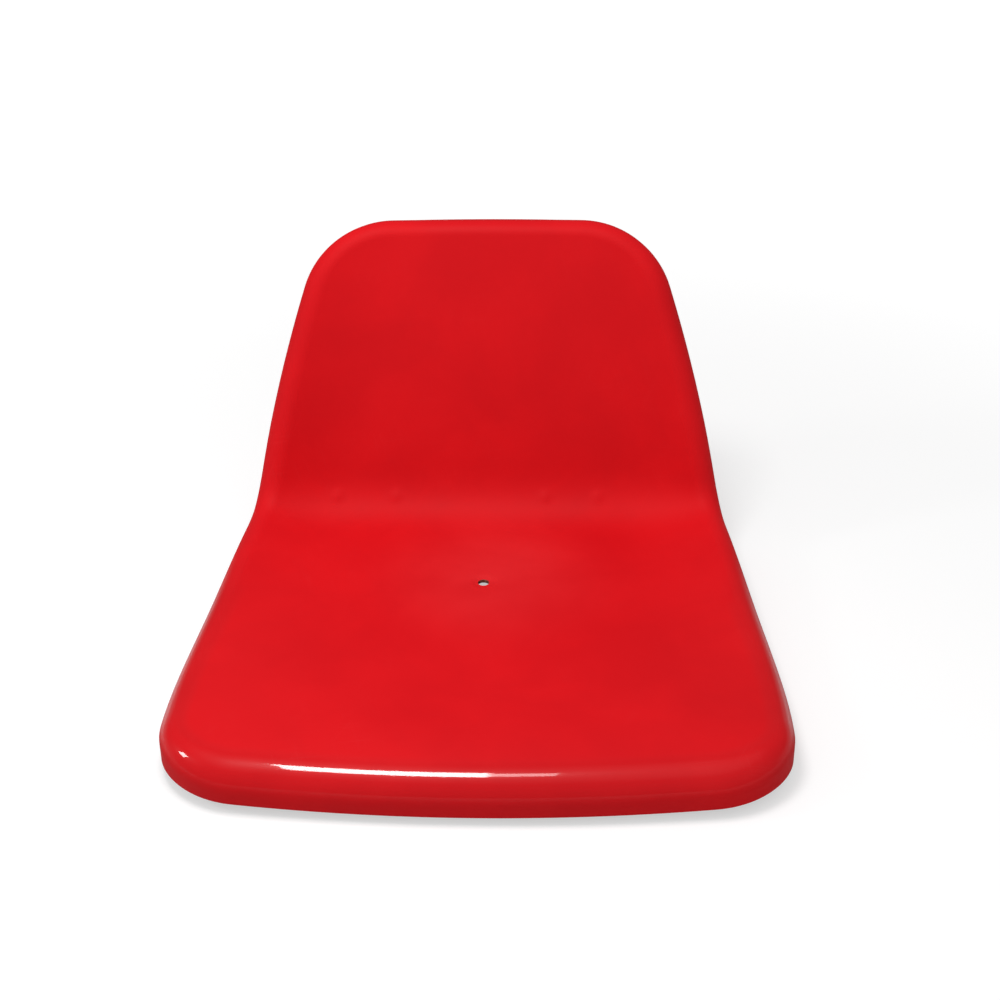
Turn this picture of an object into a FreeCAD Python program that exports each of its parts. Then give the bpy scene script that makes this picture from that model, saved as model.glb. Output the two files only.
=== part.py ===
import FreeCAD, Part
import math
import os
import Sketcher
from FreeCAD import Placement, Rotation, Vector

# One-piece low-back stadium seat, laid up in glass-fibre laminate behind a glossy gelcoat.
# The pan and the back are one double-curved skin with a rim turned down all round it.
# Beneath the pan, two timber bearers are scribed to the skin and glassed over, and each
# holds two tee nuts that take the fixing bolts from below.
# Axes: X across the seat, front of the seat towards -Y, Z up, millimetres.
# Left is -X, as someone standing in front of the seat sees it.

doc = FreeCAD.newDocument("StadiumSeat")
sheet = doc.addObject("Spreadsheet::Sheet", "sizes")

drivingSizes = [
    # Centre line, measured along the skin from the front edge
    ("fallLength", 80, "stretch over which the pan falls away to the front edge"),
    ("fallAngle", 10, "slope of the skin at the front edge, degrees"),
    ("panLength", 330, "front edge to the start of the crease"),
    ("panRake", 4.5, "fall of the pan towards the back, degrees"),
    ("panLift", 1.6, "rise of the pan just ahead of the crease, degrees"),
    ("creaseRadius", 38, "tightest radius between the pan and the back"),
    ("backLength", 205, "end of the crease to the top edge"),
    ("leanFoot", 14, "lean of the back at its foot, degrees from upright"),
    ("leanHead", 18, "lean of the back at its head, degrees from upright"),
    # Full widths of the flat pattern, from the front edge to the top edge
    ("noseWidth", 432, "width at the front edge, before its corners are rounded"),
    ("thighWidth", 448, "greatest width of the pan"),
    ("midWidth", 423, "width at the middle of the pan"),
    ("waistWidth", 383, "width at the crease"),
    ("lumbarWidth", 334, "width half way up the back"),
    ("headWidth", 262, "width at the top edge, before its corners are rounded"),
    ("frontBow", 18, "bow of the front edge ahead of its corners"),
    ("topBow", 3, "bow of the top edge above its corners"),
    ("frontCorner", 67, "plan radius of the front corners"),
    ("topCorner", 76, "radius of the top corners"),
    # Wings, the raised sides that cradle the sitter
    ("wingWidth", 78, "width of each raised side"),
    ("wingStart", 75, "distance of the wings' beginning from the front edge"),
    ("waistRise", 22, "rise of the wings at the crease"),
    ("headRise", 9, "rise of the wings at the top edge"),
    # Laminate and turned rim
    ("wall", 3, "thickness of the laminate"),
    ("noseRoll", 20, "outer radius of the rim along the front"),
    ("sideRoll", 14, "outer radius of the rim along the sides"),
    ("topRoll", 12, "outer radius of the rim along the top"),
    ("rollBlend", 60, "stretch over which one rim radius runs into the next"),
    ("panDrop", 28, "depth of the rim round the pan"),
    ("headDrop", 24, "depth of the rim round the top of the back"),
    ("drainBore", 9, "bore of the drain hole at the lowest point of the pan"),
    # Bearers and what holds them
    ("bondLine", 0.3, "resin line between bonded pieces"),
    ("bearerWidth", 47, "width of a bearer"),
    ("bearerDepth", 24, "depth of a bearer under the lowest point of the pan"),
    ("bearerSpacing", 171, "centre to centre of the two bearers"),
    ("bearerFront", 62, "front end of the bearers behind the front edge"),
    ("bearerReach", 9, "how far the bearers run past the middle of the crease"),
    ("capWall", 2.5, "thickness of the over-laminate"),
    ("capTab", 24, "width of the bonding tabs beside and ahead of a bearer"),
    ("capHeel", 6, "reach of the bonding tab behind a bearer"),
    # Tee nuts
    ("nutFrontSet", 102, "front tee nuts behind the front edge"),
    ("nutPitch", 160, "front tee nuts to rear tee nuts"),
    ("nutBore", 6.8, "bore of an M8 thread at its crests"),
    ("nutBarrel", 10, "outside of the barrel"),
    ("nutBarrelLength", 13, "length of the barrel below the flange"),
    ("nutFlange", 22, "diameter of the flange"),
    ("nutFlangeWall", 1.6, "thickness of the flange"),
    ("nutRecess", 3, "depth of the flange's seat under the lowest point of the pan"),
    ("nutClearance", 0.3, "clearance round a tee nut in its bearer"),
    ("boltHole", 9, "clearance hole for an M8 bolt through the over-laminate"),
]


def addSize(row, alias, value, note):
    sheet.set(f"A{row}", note)
    sheet.set(f"B{row}", str(value))
    sheet.setAlias(f"B{row}", alias)


def size(alias):
    return float(sheet.get(alias))


for row, (alias, value, note) in enumerate(drivingSizes, start=1):
    addSize(row, alias, value, note)
doc.recompute()


# Smooth step from 0 to 1, level at both ends
def ramp(x):
    x = min(max(x, 0.0), 1.0)
    return x * x * (3 - 2 * x)


def share(x):
    return min(max(x, 0.0), 1.0)


# Centre line: its slope is set along its length, and its points follow from that

creaseTurn = 90 - size("leanFoot") - size("panLift")
creaseLength = 1.5 * size("creaseRadius") * math.radians(creaseTurn)
creaseMiddle = size("panLength") + creaseLength / 2
creaseEnd = size("panLength") + creaseLength
topEdge = creaseEnd + size("backLength")


def slope(along):
    straight = size("panLength") - size("fallLength")
    fall = size("fallAngle") + size("panRake")
    degrees = size("fallAngle") - fall * ramp(along / size("fallLength"))
    degrees += (size("panRake") + size("panLift")) * share((along - size("fallLength")) / straight)
    degrees += creaseTurn * ramp((along - size("panLength")) / creaseLength)
    degrees -= (size("leanHead") - size("leanFoot")) * share((along - creaseEnd) / size("backLength"))
    return math.radians(degrees)


lineStep = 1.0
centreLine = [Vector(0, 0, 0)]
while len(centreLine) <= topEdge / lineStep + 1:
    tilt = slope((len(centreLine) - 0.5) * lineStep)
    centreLine.append(centreLine[-1] + Vector(0, math.cos(tilt), math.sin(tilt)) * lineStep)


def centrePoint(along):
    low = min(int(max(along, 0) / lineStep), int(topEdge / lineStep))
    onward = centreLine[low + 1] - centreLine[low]
    return centreLine[low] + onward * (along / lineStep - low)


# Directions square to the centre line, out of the seat's show side and out of its back
def upFrom(along):
    return Vector(0, -math.sin(slope(along)), math.cos(slope(along)))


def downFrom(along):
    return upFrom(along) * -1


# The pan drains at its lowest point, where its fall to the back turns into its rise
drainShare = size("panRake") / (size("panRake") + size("panLift"))
drainAlong = size("fallLength") + (size("panLength") - size("fallLength")) * drainShare
panFloor = centrePoint(drainAlong)


# Curves and surfaces that pass through given points at given parameters
def curveThrough(points, params, closed=False):
    curve = Part.BSplineCurve()
    curve.interpolate(Points=points, Parameters=params, PeriodicFlag=closed)
    return curve


def surfaceThrough(grid, along, across, closed=False):
    rows = [curveThrough(points, across) for points in grid]
    rowPoles = [row.getPoles() for row in rows]
    columns = [curveThrough(list(poles), along, closed) for poles in zip(*rowPoles)]
    columnPoles = [column.getPoles() for column in columns]
    surface = Part.BSplineSurface()
    surface.buildFromPolesMultsKnots(
        [list(poles) for poles in zip(*columnPoles)],
        columns[0].getMultiplicities(), rows[0].getMultiplicities(),
        columns[0].getKnots(), rows[0].getKnots(), closed, False, 3, 3)
    return surface


# Half width of the flat pattern, a fair curve through the six widths
widthStations = [0, creaseMiddle * 0.25, creaseMiddle * 0.6,
                 creaseMiddle, (creaseMiddle + topEdge) / 2, topEdge]
widthNames = ["noseWidth", "thighWidth", "midWidth", "waistWidth", "lumbarWidth", "headWidth"]
halfWidths = [size(name) / 2 for name in widthNames]
sideCurve = curveThrough([Vector(*pair, 0) for pair in zip(widthStations, halfWidths)], widthStations)


def halfWidth(along):
    return sideCurve.value(min(max(along, 0), topEdge)).y


# Show skin: every point is lifted off the centre line's sheet by the wings
def wingLift(along, side):
    if along < creaseMiddle:
        rise = size("waistRise") * ramp((along - size("wingStart")) / (creaseMiddle - size("wingStart")))
    else:
        fade = ramp((along - creaseMiddle) / (topEdge - creaseMiddle))
        rise = size("waistRise") + (size("headRise") - size("waistRise")) * fade
    reach = (abs(side) - halfWidth(along)) / size("wingWidth") + 1
    return rise * max(reach, 0) ** 2


def sheetPoint(along, side):
    point = centrePoint(along) + upFrom(along) * wingLift(along, side)
    return Vector(side, point.y, point.z)


# The skin's second parameter is the share of the half width, times half the waist
acrossScale = size("waistWidth") / 2


def acrossAt(point):
    return point.y / halfWidth(point.x) * acrossScale


skinMargin = 30
panStations = [size("fallLength") * k / 4 for k in range(4)]
panStations += [size("fallLength") + (size("panLength") - size("fallLength")) * k / 5 for k in range(5)]
creaseStations = [size("panLength") + creaseLength * k / 7 for k in range(7)]
backStations = [creaseEnd + size("backLength") * k / 6 for k in range(7)]
skinAlong = [-skinMargin] + panStations + creaseStations + backStations + [topEdge + skinMargin]
sideShares = [0.2, 0.4, 0.52, 0.6, 0.68, 0.76, 0.84, 0.92, 1, 1.15]
widthShares = [-value for value in reversed(sideShares)] + [0] + sideShares
skinAcross = [value * acrossScale for value in widthShares]
skin = surfaceThrough(
    [[sheetPoint(along, value * halfWidth(along)) for value in widthShares] for along in skinAlong],
    skinAlong, skinAcross)


# Faces under the skin, at a given depth square to it
def skinUnder(depth):
    grid = [[skin.value(u, v) + skin.normal(u, v) * depth for v in skinAcross] for u in skinAlong]
    return surfaceThrough(grid, skinAlong, skinAcross)


underside = skinUnder(size("wall"))


# Flat pattern: bowed ends, sides along the half widths, rounded corners
def patternSide(sign):
    points = [Vector(size("frontBow"), sign * halfWidth(0), 0)]
    points += [Vector(along, sign * halfWidth(along), 0) for along in widthStations[1:-1]]
    points += [Vector(topEdge - size("topBow"), sign * halfWidth(topEdge), 0)]
    return curveThrough(points, [point.x for point in points]).toShape()


def patternEnd(along, corner):
    left = Vector(corner, -halfWidth(along), 0)
    right = Vector(corner, halfWidth(along), 0)
    return Part.Arc(left, Vector(along, 0, 0), right).toShape()


def roundCorners(blank, low, high, radius):
    uprights = [edge for edge in blank.Edges
                if edge.BoundBox.ZLength > blankDepth / 2 and low < edge.BoundBox.Center.x < high]
    return blank.makeFillet(radius, uprights)


blankDepth = 10
patternEdges = [patternEnd(0, size("frontBow")), patternSide(1),
                patternEnd(topEdge, topEdge - size("topBow")), patternSide(-1)]
blank = Part.Face(Part.Wire(Part.__sortEdges__(patternEdges))).extrude(Vector(0, 0, blankDepth))
blank = roundCorners(blank, -1, size("frontBow") + 1, size("frontCorner"))
blank = roundCorners(blank, topEdge - size("topBow") - 1, topEdge + 1, size("topCorner"))

# The outline runs round from the middle of the front edge, left side first
rimCount = 120
halfBlank = blank.common(Part.makeBox(2 * topEdge, topEdge, blankDepth, Vector(-skinMargin, -topEdge, 0)))
flatFace = min(halfBlank.Faces, key=lambda face: face.BoundBox.ZMax)
leftEdges = [edge for edge in flatFace.Edges if edge.BoundBox.YMin < -1]
leftSide = Part.Wire(Part.__sortEdges__(leftEdges)).discretize(Number=rimCount // 2 + 1)
if leftSide[0].x > leftSide[-1].x:
    leftSide.reverse()
rightSide = [Vector(point.x, -point.y, 0) for point in leftSide[-2:0:-1]]
outline = leftSide + rightSide


# Turned rim: at each outline point an arc rolls the skin over, and a straight flange follows
def rollRadius(along):
    radius = size("noseRoll") + (size("sideRoll") - size("noseRoll")) * ramp(along / size("rollBlend"))
    topShare = ramp((along - topEdge) / size("rollBlend") + 1)
    return radius + (size("topRoll") - size("sideRoll")) * topShare


def rimDrop(along):
    return size("panDrop") + (size("headDrop") - size("panDrop")) * ramp((along - creaseEnd) / size("backLength"))


def onSkin(point):
    return skin.value(point.x, acrossAt(point))


def rimSection(index):
    point = outline[index]
    tangent = outline[(index + 1) % rimCount] - outline[index - 1]
    inward = Vector(-tangent.y, tangent.x, 0).normalize()
    radius = rollRadius(point.x)
    start = point + inward * radius
    normal = skin.normal(start.x, acrossAt(start)) * -1
    outward = onSkin(start - inward) - onSkin(start)
    outward = (outward - normal * outward.dot(normal)).normalize()
    down = downFrom(start.x)
    sweep = math.atan2(-down.dot(normal), down.dot(outward))
    return {"start": start, "centre": onSkin(start) - normal * radius, "normal": normal,
            "outward": outward, "radius": radius, "sweep": sweep, "flange": rimDrop(point.x) - radius}


rimSections = [rimSection(index) for index in range(rimCount)]
rollSteps = 6
rollParams = [step / rollSteps for step in range(rollSteps + 1)]
roundParams = list(range(rimCount + 1))
seamCount = 4


def seamSpan(index):
    return rimCount * index / seamCount, rimCount * (index + 1) / seamCount


# One side of the rim, at a depth behind its outer side. Between two seams the roll is a row of
# narrow bands cut from one surface, and a ruled flange hangs from the last of them.
def rimSide(surface, depth):
    rollPoints = []
    lipPoints = []
    for part in rimSections:
        column = [surface.value(part["start"].x, acrossAt(part["start"]))]
        for step in rollParams[1:]:
            angle = part["sweep"] * step
            spoke = part["normal"] * math.cos(angle) + part["outward"] * math.sin(angle)
            column.append(part["centre"] + spoke * (part["radius"] - depth))
        run = part["outward"] * math.cos(part["sweep"]) - part["normal"] * math.sin(part["sweep"])
        rollPoints.append(column)
        lipPoints.append(column[-1] + run * part["flange"])
    roll = surfaceThrough(rollPoints, roundParams, rollParams, True)
    lip = curveThrough(lipPoints, roundParams, True)
    lipEdges = [lip.toShape(*seamSpan(index)) for index in range(seamCount)]
    faces = []
    for index, lipEdge in enumerate(lipEdges):
        for low, high in zip(rollParams, rollParams[1:]):
            band = roll.copy()
            band.segment(*seamSpan(index), low, high)
            faces.append(band.toShape())
        faces.append(Part.makeRuledSurface(band.vIso(high).toShape(), lipEdge))
    return faces, lipEdges


# The part of a surface inside the line where the rim begins
def insideRim(surface):
    points = [Vector(part["start"].x, acrossAt(part["start"]), 0) for part in rimSections]
    loop = curveThrough(points, roundParams, True)
    poles = [FreeCAD.Base.Vector2d(pole.x, pole.y) for pole in loop.getPoles()]
    edges = []
    for index in range(seamCount):
        line = Part.Geom2d.BSplineCurve2d()
        line.buildFromPolesMultsKnots(poles, loop.getMultiplicities(), loop.getKnots(), True, 3)
        line.segment(*seamSpan(index))
        edges.append(line.toShape(surface))
    split, history = surface.toShape().generalFuse([Part.Wire(edges)])
    return min(split.Faces, key=lambda face: len(face.Wires))


# The laminate: show face, outer rim, lip, inner rim and underside, sewn into one solid
def laminate():
    seamTolerance = 0.1
    outer, outerLips = rimSide(skin, 0)
    inner, innerLips = rimSide(underside, size("wall"))
    lips = [Part.makeRuledSurface(out, back) for out, back in zip(outerLips, innerLips)]
    faces = [insideRim(skin), insideRim(underside)] + outer + inner + lips
    for face in faces:
        face.fixTolerance(seamTolerance)
    sewn = Part.makeCompound(faces)
    sewn.sewShape()
    hull = Part.makeShell(sewn.Faces)
    solid = Part.Solid(hull)
    if solid.Volume < 0:
        hull.reverse()
        solid = Part.Solid(hull)
    return solid


laminateSolid = laminate()

# Places that follow from the centre line: the seat rests on the over-laminate of its
# bearers, and the origin is on the ground under the middle of the whole seat
extent = laminateSolid.optimalBoundingBox(False, False)
seatMiddle = (extent.YMin + extent.YMax) / 2
standHeight = size("capWall") + size("bearerDepth") + size("bondLine") + size("wall") - panFloor.z
bearerHeel = centrePoint(creaseMiddle + size("bearerReach")).y
placedSizes = [
    ("drainBack", panFloor.y - seatMiddle, "drain hole behind the origin"),
    ("frontBack", -seatMiddle, "front edge behind the origin, so a negative number"),
    ("panHeight", panFloor.z + standHeight, "lowest point of the pan above the ground"),
    ("bearerLength", bearerHeel - size("bearerFront"), "length of a bearer"),
]
for row, (alias, value, note) in enumerate(placedSizes, start=len(drivingSizes) + 1):
    addSize(row, alias, value, note)
doc.recompute()
seatPlacement = Placement(Vector(0, -seatMiddle, standHeight), Rotation())


# Makers of plain features whose sizes are bound to the sheet
def bound(kind, name, **expressions):
    feature = doc.addObject(kind, name)
    for prop, expression in expressions.items():
        feature.setExpression(prop.replace("_", "."), expression)
    return feature


def boxAt(name, length, width, height, x, y, z):
    return bound("Part::Box", name, Length=length, Width=width, Height=height,
                 Placement_Base_x=x, Placement_Base_y=y, Placement_Base_z=z)


def cylinderAt(name, diameter, height, x, y, z):
    return bound("Part::Cylinder", name, Radius=f"({diameter}) / 2", Height=height,
                 Placement_Base_x=x, Placement_Base_y=y, Placement_Base_z=z)


def boolean(kind, name, base, tool):
    feature = doc.addObject(kind, name)
    feature.Base = base
    feature.Tool = tool
    return feature


def fuseAll(name, shapes):
    feature = doc.addObject("Part::MultiFuse", name)
    feature.Shapes = shapes
    return feature


def shaped(name, shape):
    feature = doc.addObject("Part::Feature", name)
    feature.Shape = shape
    feature.Placement = seatPlacement
    return feature


nodes = []


def node(feature, label):
    feature.Label = label
    nodes.append(feature)
    return feature


# Seat shell
drain = cylinderAt("drainCutter", "sizes.drainBore", "sizes.panHeight * 2",
                   "0 mm", "sizes.drainBack", "0 mm")
node(boolean("Part::Cut", "seatShell", shaped("laminate", laminateSolid), drain), "seat_shell")


# Space beneath the shell, down to below the ground, for what is bonded to its underside
def spaceUnder(name, depth):
    face = skinUnder(depth).toShape()
    return shaped(name, face.extrude(Vector(0, 0, -2 * size("backLength"))))


bondSpace = spaceUnder("bondSpace", size("wall") + size("bondLine"))
tabSpace = spaceUnder("tabSpace", size("wall") + size("bondLine") + size("capWall"))

# Heights that several pieces share
stockHeight = "(sizes.panHeight + sizes.creaseRadius * 2)"
nutSeat = "(sizes.capWall + sizes.bearerDepth - sizes.nutRecess)"
frontNutBack = "(sizes.frontBack + sizes.nutFrontSet)"
rearNutBack = f"({frontNutBack} + sizes.nutPitch)"
nutRows = {"front": frontNutBack, "rear": rearNutBack}
bearerSides = {"left": "(-sizes.bearerSpacing / 2)", "right": "(sizes.bearerSpacing / 2)"}


# A bearer: a length of timber scribed to the underside, with a stepped hole for each tee nut
def bearer(side, middle):
    stock = boxAt(f"bearerStock_{side}", "sizes.bearerWidth", "sizes.bearerLength", stockHeight,
                  f"{middle} - sizes.bearerWidth / 2", "sizes.frontBack + sizes.bearerFront",
                  "sizes.capWall")
    scribed = boolean("Part::Common", f"bearerScribed_{side}", stock, bondSpace)
    cutters = []
    for row, back in nutRows.items():
        cutters.append(cylinderAt(f"barrelHole_{row}_{side}", "sizes.nutBarrel + 2 * sizes.nutClearance",
                                  stockHeight, middle, back, "0 mm"))
        cutters.append(cylinderAt(f"flangeSeat_{row}_{side}", "sizes.nutFlange + 2 * sizes.nutClearance",
                                  stockHeight, middle, back, nutSeat))
    holes = fuseAll(f"bearerHoles_{side}", cutters)
    node(boolean("Part::Cut", f"bearer_{side}", scribed, holes), f"bearer_{side}")


# The over-laminate: a hat over the bearer with tabs bonded to the shell beside it
def capping(side, middle):
    gap = "(sizes.capWall + sizes.bondLine)"
    left = f"{middle} - sizes.bearerWidth / 2"
    front = "sizes.frontBack + sizes.bearerFront"
    hatBlock = boxAt(f"hatBlock_{side}", f"sizes.bearerWidth + 2 * {gap}", f"sizes.bearerLength + 2 * {gap}",
                     stockHeight, f"{left} - {gap}", f"{front} - {gap}", "0 mm")
    hat = boolean("Part::Common", f"hat_{side}", hatBlock, bondSpace)
    tabBlock = boxAt(f"tabBlock_{side}", "sizes.bearerWidth + 2 * sizes.capTab",
                     "sizes.bearerLength + sizes.capTab + sizes.capHeel", stockHeight,
                     f"{left} - sizes.capTab", f"{front} - sizes.capTab", "0 mm")
    tabSlab = boolean("Part::Common", f"tabSlab_{side}", tabBlock, bondSpace)
    tabs = boolean("Part::Cut", f"tabs_{side}", tabSlab, tabSpace)
    body = fuseAll(f"cappingBody_{side}", [hat, tabs])
    pocket = boxAt(f"bearerPocket_{side}", "sizes.bearerWidth + 2 * sizes.bondLine",
                   "sizes.bearerLength + 2 * sizes.bondLine", stockHeight,
                   f"{left} - sizes.bondLine", f"{front} - sizes.bondLine", "sizes.capWall")
    holes = [cylinderAt(f"boltHole_{row}_{side}", "sizes.boltHole", "sizes.capWall * 2",
                        middle, back, "0 mm") for row, back in nutRows.items()]
    cutters = fuseAll(f"cappingCutters_{side}", [pocket] + holes)
    node(boolean("Part::Cut", f"cap_{side}", body, cutters), f"bearer_capping_{side}")


for sideName, sideMiddle in bearerSides.items():
    bearer(sideName, sideMiddle)
    capping(sideName, sideMiddle)


# A tee nut: its half section turned about the bolt's axis, the flange's underside at height 0
def teeNut(row, back, side, middle):
    body = doc.addObject("PartDesign::Body", f"teeNut_{row}_{side}")
    plane = next(item for item in body.Origin.OriginFeatures if item.Role == "XZ_Plane")
    sketch = body.newObject("Sketcher::SketchObject", f"nutSection_{row}_{side}")
    sketch.AttachmentSupport = (plane, [""])
    sketch.MapMode = "FlatFace"
    radii = {"bore": "sizes.nutBore / 2", "barrel": "sizes.nutBarrel / 2", "flange": "sizes.nutFlange / 2"}
    heights = {"foot": "sizes.nutBarrelLength", "top": "sizes.nutFlangeWall"}
    bore, barrel, flange = [size(name) / 2 for name in ("nutBore", "nutBarrel", "nutFlange")]
    foot, top = -size("nutBarrelLength"), size("nutFlangeWall")
    corners = [Vector(bore, foot, 0), Vector(barrel, foot, 0), Vector(barrel, 0, 0),
               Vector(flange, 0, 0), Vector(flange, top, 0), Vector(bore, top, 0)]
    for index, corner in enumerate(corners):
        sketch.addGeometry(Part.LineSegment(corner, corners[(index + 1) % len(corners)]), False)
    for index in range(len(corners)):
        sketch.addConstraint(Sketcher.Constraint("Coincident", index, 2, (index + 1) % len(corners), 1))
        direction = "Vertical" if index % 2 else "Horizontal"
        sketch.addConstraint(Sketcher.Constraint(direction, index))
    sketch.addConstraint(Sketcher.Constraint("PointOnObject", 2, 1, -1))
    limits = [("DistanceX", 0, 1, bore, radii["bore"]), ("DistanceX", 0, 2, barrel, radii["barrel"]),
              ("DistanceX", 3, 1, flange, radii["flange"])]
    for kind, line, end, value, expression in limits:
        index = sketch.addConstraint(Sketcher.Constraint(kind, -1, 1, line, end, value))
        sketch.setExpression(f"Constraints[{index}]", expression)
    index = sketch.addConstraint(Sketcher.Constraint("DistanceY", 0, 1, -1, 1, -foot))
    sketch.setExpression(f"Constraints[{index}]", heights["foot"])
    index = sketch.addConstraint(Sketcher.Constraint("DistanceY", -1, 1, 4, 1, top))
    sketch.setExpression(f"Constraints[{index}]", heights["top"])
    turned = body.newObject("PartDesign::Revolution", f"nutTurned_{row}_{side}")
    turned.Profile = sketch
    turned.ReferenceAxis = (sketch, ["V_Axis"])
    turned.Angle = 360
    body.Tip = turned
    body.setExpression("Placement.Base.x", middle)
    body.setExpression("Placement.Base.y", back)
    body.setExpression("Placement.Base.z", nutSeat)
    node(body, f"tee_nut_{row}_{side}")


for rowName, rowBack in nutRows.items():
    for sideName, sideMiddle in bearerSides.items():
        teeNut(rowName, rowBack, sideName, sideMiddle)

doc.recompute()

# Every feature has to be sound before anything is written
for feature in doc.Objects:
    if "Invalid" in feature.State or "Error" in feature.State:
        raise RuntimeError(f"{feature.Name} failed: {feature.State}")
for feature in nodes:
    if feature.Shape.isNull() or not feature.Shape.isValid() or len(feature.Shape.Solids) != 1:
        raise RuntimeError(f"{feature.Label} is not one sound solid")

os.makedirs("parts", exist_ok=True)
for feature in nodes:
    feature.Shape.exportStep(f"parts/{feature.Label}.step")
    box = feature.Shape.optimalBoundingBox(False, False)
    corners = [round(value, 2) for value in (box.XMin, box.YMin, box.ZMin, box.XMax, box.YMax, box.ZMax)]
    print(feature.Label, corners, round(feature.Shape.Volume))
for alias, value, note in placedSizes:
    print(note, round(value, 3))
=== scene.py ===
import math
import bpy
import numpy as np
from mathutils import Matrix, Vector


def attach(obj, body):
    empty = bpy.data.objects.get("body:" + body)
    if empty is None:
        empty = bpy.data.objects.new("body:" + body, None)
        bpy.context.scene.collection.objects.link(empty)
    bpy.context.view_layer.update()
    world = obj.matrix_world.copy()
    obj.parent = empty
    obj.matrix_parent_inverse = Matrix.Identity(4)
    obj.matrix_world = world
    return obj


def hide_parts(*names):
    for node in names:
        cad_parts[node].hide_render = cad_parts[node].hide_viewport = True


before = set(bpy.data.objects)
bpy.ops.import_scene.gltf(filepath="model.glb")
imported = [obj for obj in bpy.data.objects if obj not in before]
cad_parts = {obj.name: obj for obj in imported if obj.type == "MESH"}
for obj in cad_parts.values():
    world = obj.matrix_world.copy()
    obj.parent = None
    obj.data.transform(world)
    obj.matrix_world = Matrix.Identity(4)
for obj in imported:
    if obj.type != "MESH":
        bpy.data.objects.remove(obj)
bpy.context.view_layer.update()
print("frame loaded:", ", ".join(sorted(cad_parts)))

mm = 0.001  # the sizes below are in millimetres and degrees, the scene is in metres

# The shell's form, measured along the skin from the front edge, as in the CAD.
# The inner widths lie at the given shares of the way to the crease, and halfway up the back.
shell = {
    "fallLength": 80, "fallAngle": 10,
    "panLength": 330, "panRake": 4.5, "panLift": 1.6,
    "creaseRadius": 38,
    "backLength": 205, "leanFoot": 14, "leanHead": 18,
    "widths": (432, 448, 423, 383, 334, 262), "widthShares": (0.25, 0.6, 1),
    "frontBow": 18, "topBow": 3, "frontCorner": 67, "topCorner": 76,
    "wingWidth": 78, "wingStart": 75, "waistRise": 22, "headRise": 9,
    "noseRoll": 20, "sideRoll": 14, "topRoll": 12, "rollBlend": 60,
    "panDrop": 28, "headDrop": 24,
    "wall": 3, "drainBore": 9,
    "panHeight": 29.8, "standBack": 231.536,  # lowest point, and front edge from the origin
}


def ramp(x):
    x = np.clip(x, 0, 1)
    return x * x * (3 - 2 * x)


# A cubic spline whose end slopes come from the cubic through the nearest four points
def fairCurve(stations, values):
    x = np.array(stations, float)
    y = np.array(values, float)
    ends = [np.polyval(np.polyder(np.polyfit(x[part], y[part], 3)), x[end])
            for part, end in ((slice(0, 4), 0), (slice(-4, None), -1))]
    gaps = np.diff(x)
    rises = np.diff(y) / gaps
    system = np.eye(len(x))
    wanted = np.zeros(len(x))
    wanted[0], wanted[-1] = ends
    for i in range(1, len(x) - 1):
        system[i, i - 1:i + 2] = (gaps[i], 2 * (gaps[i - 1] + gaps[i]), gaps[i - 1])
        wanted[i] = 3 * (gaps[i] * rises[i - 1] + gaps[i - 1] * rises[i])
    slopes = np.linalg.solve(system, wanted)

    def at(place):
        place = np.clip(place, x[0], x[-1])
        i = np.clip(np.searchsorted(x, place) - 1, 0, len(gaps) - 1)
        t = (place - x[i]) / gaps[i]
        return ((2 * t ** 3 - 3 * t ** 2 + 1) * y[i] + (3 * t ** 2 - 2 * t ** 3) * y[i + 1]
                + gaps[i] * (t * (1 - t) ** 2 * slopes[i] + t ** 2 * (t - 1) * slopes[i + 1]))

    return at


# Centre line of the seat, from its front edge over the pan, round the crease and up the back
creaseTurn = 90 - shell["leanFoot"] - shell["panLift"]
rampPeak = 1.5  # slope of a ramp in its middle, where the crease is tightest
creaseLength = rampPeak * shell["creaseRadius"] * math.radians(creaseTurn)
creaseMiddle = shell["panLength"] + creaseLength / 2
creaseEnd = shell["panLength"] + creaseLength
topEdge = creaseEnd + shell["backLength"]


def slope(along):
    straight = shell["panLength"] - shell["fallLength"]
    noseTurn = shell["fallAngle"] + shell["panRake"]
    degrees = shell["fallAngle"] - noseTurn * ramp(along / shell["fallLength"])
    degrees = degrees + (shell["panRake"] + shell["panLift"]) * np.clip(
        (along - shell["fallLength"]) / straight, 0, 1)
    degrees = degrees + creaseTurn * ramp((along - shell["panLength"]) / creaseLength)
    lean = shell["leanHead"] - shell["leanFoot"]
    return np.radians(degrees - lean * np.clip((along - creaseEnd) / shell["backLength"], 0, 1))


lineMargin = 40.0  # run of the line past both edges
lineStations = np.arange(-lineMargin, topEdge + lineMargin)
lineSlopes = slope(lineStations[:-1] + 0.5)
lineBack = np.concatenate([[0], np.cumsum(np.cos(lineSlopes))])
lineUp = np.concatenate([[0], np.cumsum(np.sin(lineSlopes))])
lineBack -= np.interp(0, lineStations, lineBack)
lineUp -= np.interp(0, lineStations, lineUp)


def widthPlaces(front, top):
    waist = [creaseMiddle * share for share in shell["widthShares"]]
    return [front, *waist, (creaseMiddle + topEdge) / 2, top]


halves = [width / 2 for width in shell["widths"]]
halfWidth = fairCurve(widthPlaces(0, topEdge), halves)
drainShare = shell["panRake"] / (shell["panRake"] + shell["panLift"])
drainAlong = shell["fallLength"] + (shell["panLength"] - shell["fallLength"]) * drainShare
lowestUp = np.interp(drainAlong, lineStations, lineUp)


# Rise of the wings over the centre line
def wingLift(along, side):
    growth = ramp((along - shell["wingStart"]) / (creaseMiddle - shell["wingStart"]))
    fade = ramp((along - creaseMiddle) / (topEdge - creaseMiddle))
    rise = shell["waistRise"] * growth + (shell["headRise"] - shell["waistRise"]) * fade
    reach = (np.abs(side) - halfWidth(along)) / shell["wingWidth"] + 1
    return rise * np.maximum(reach, 0) ** 2


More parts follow.
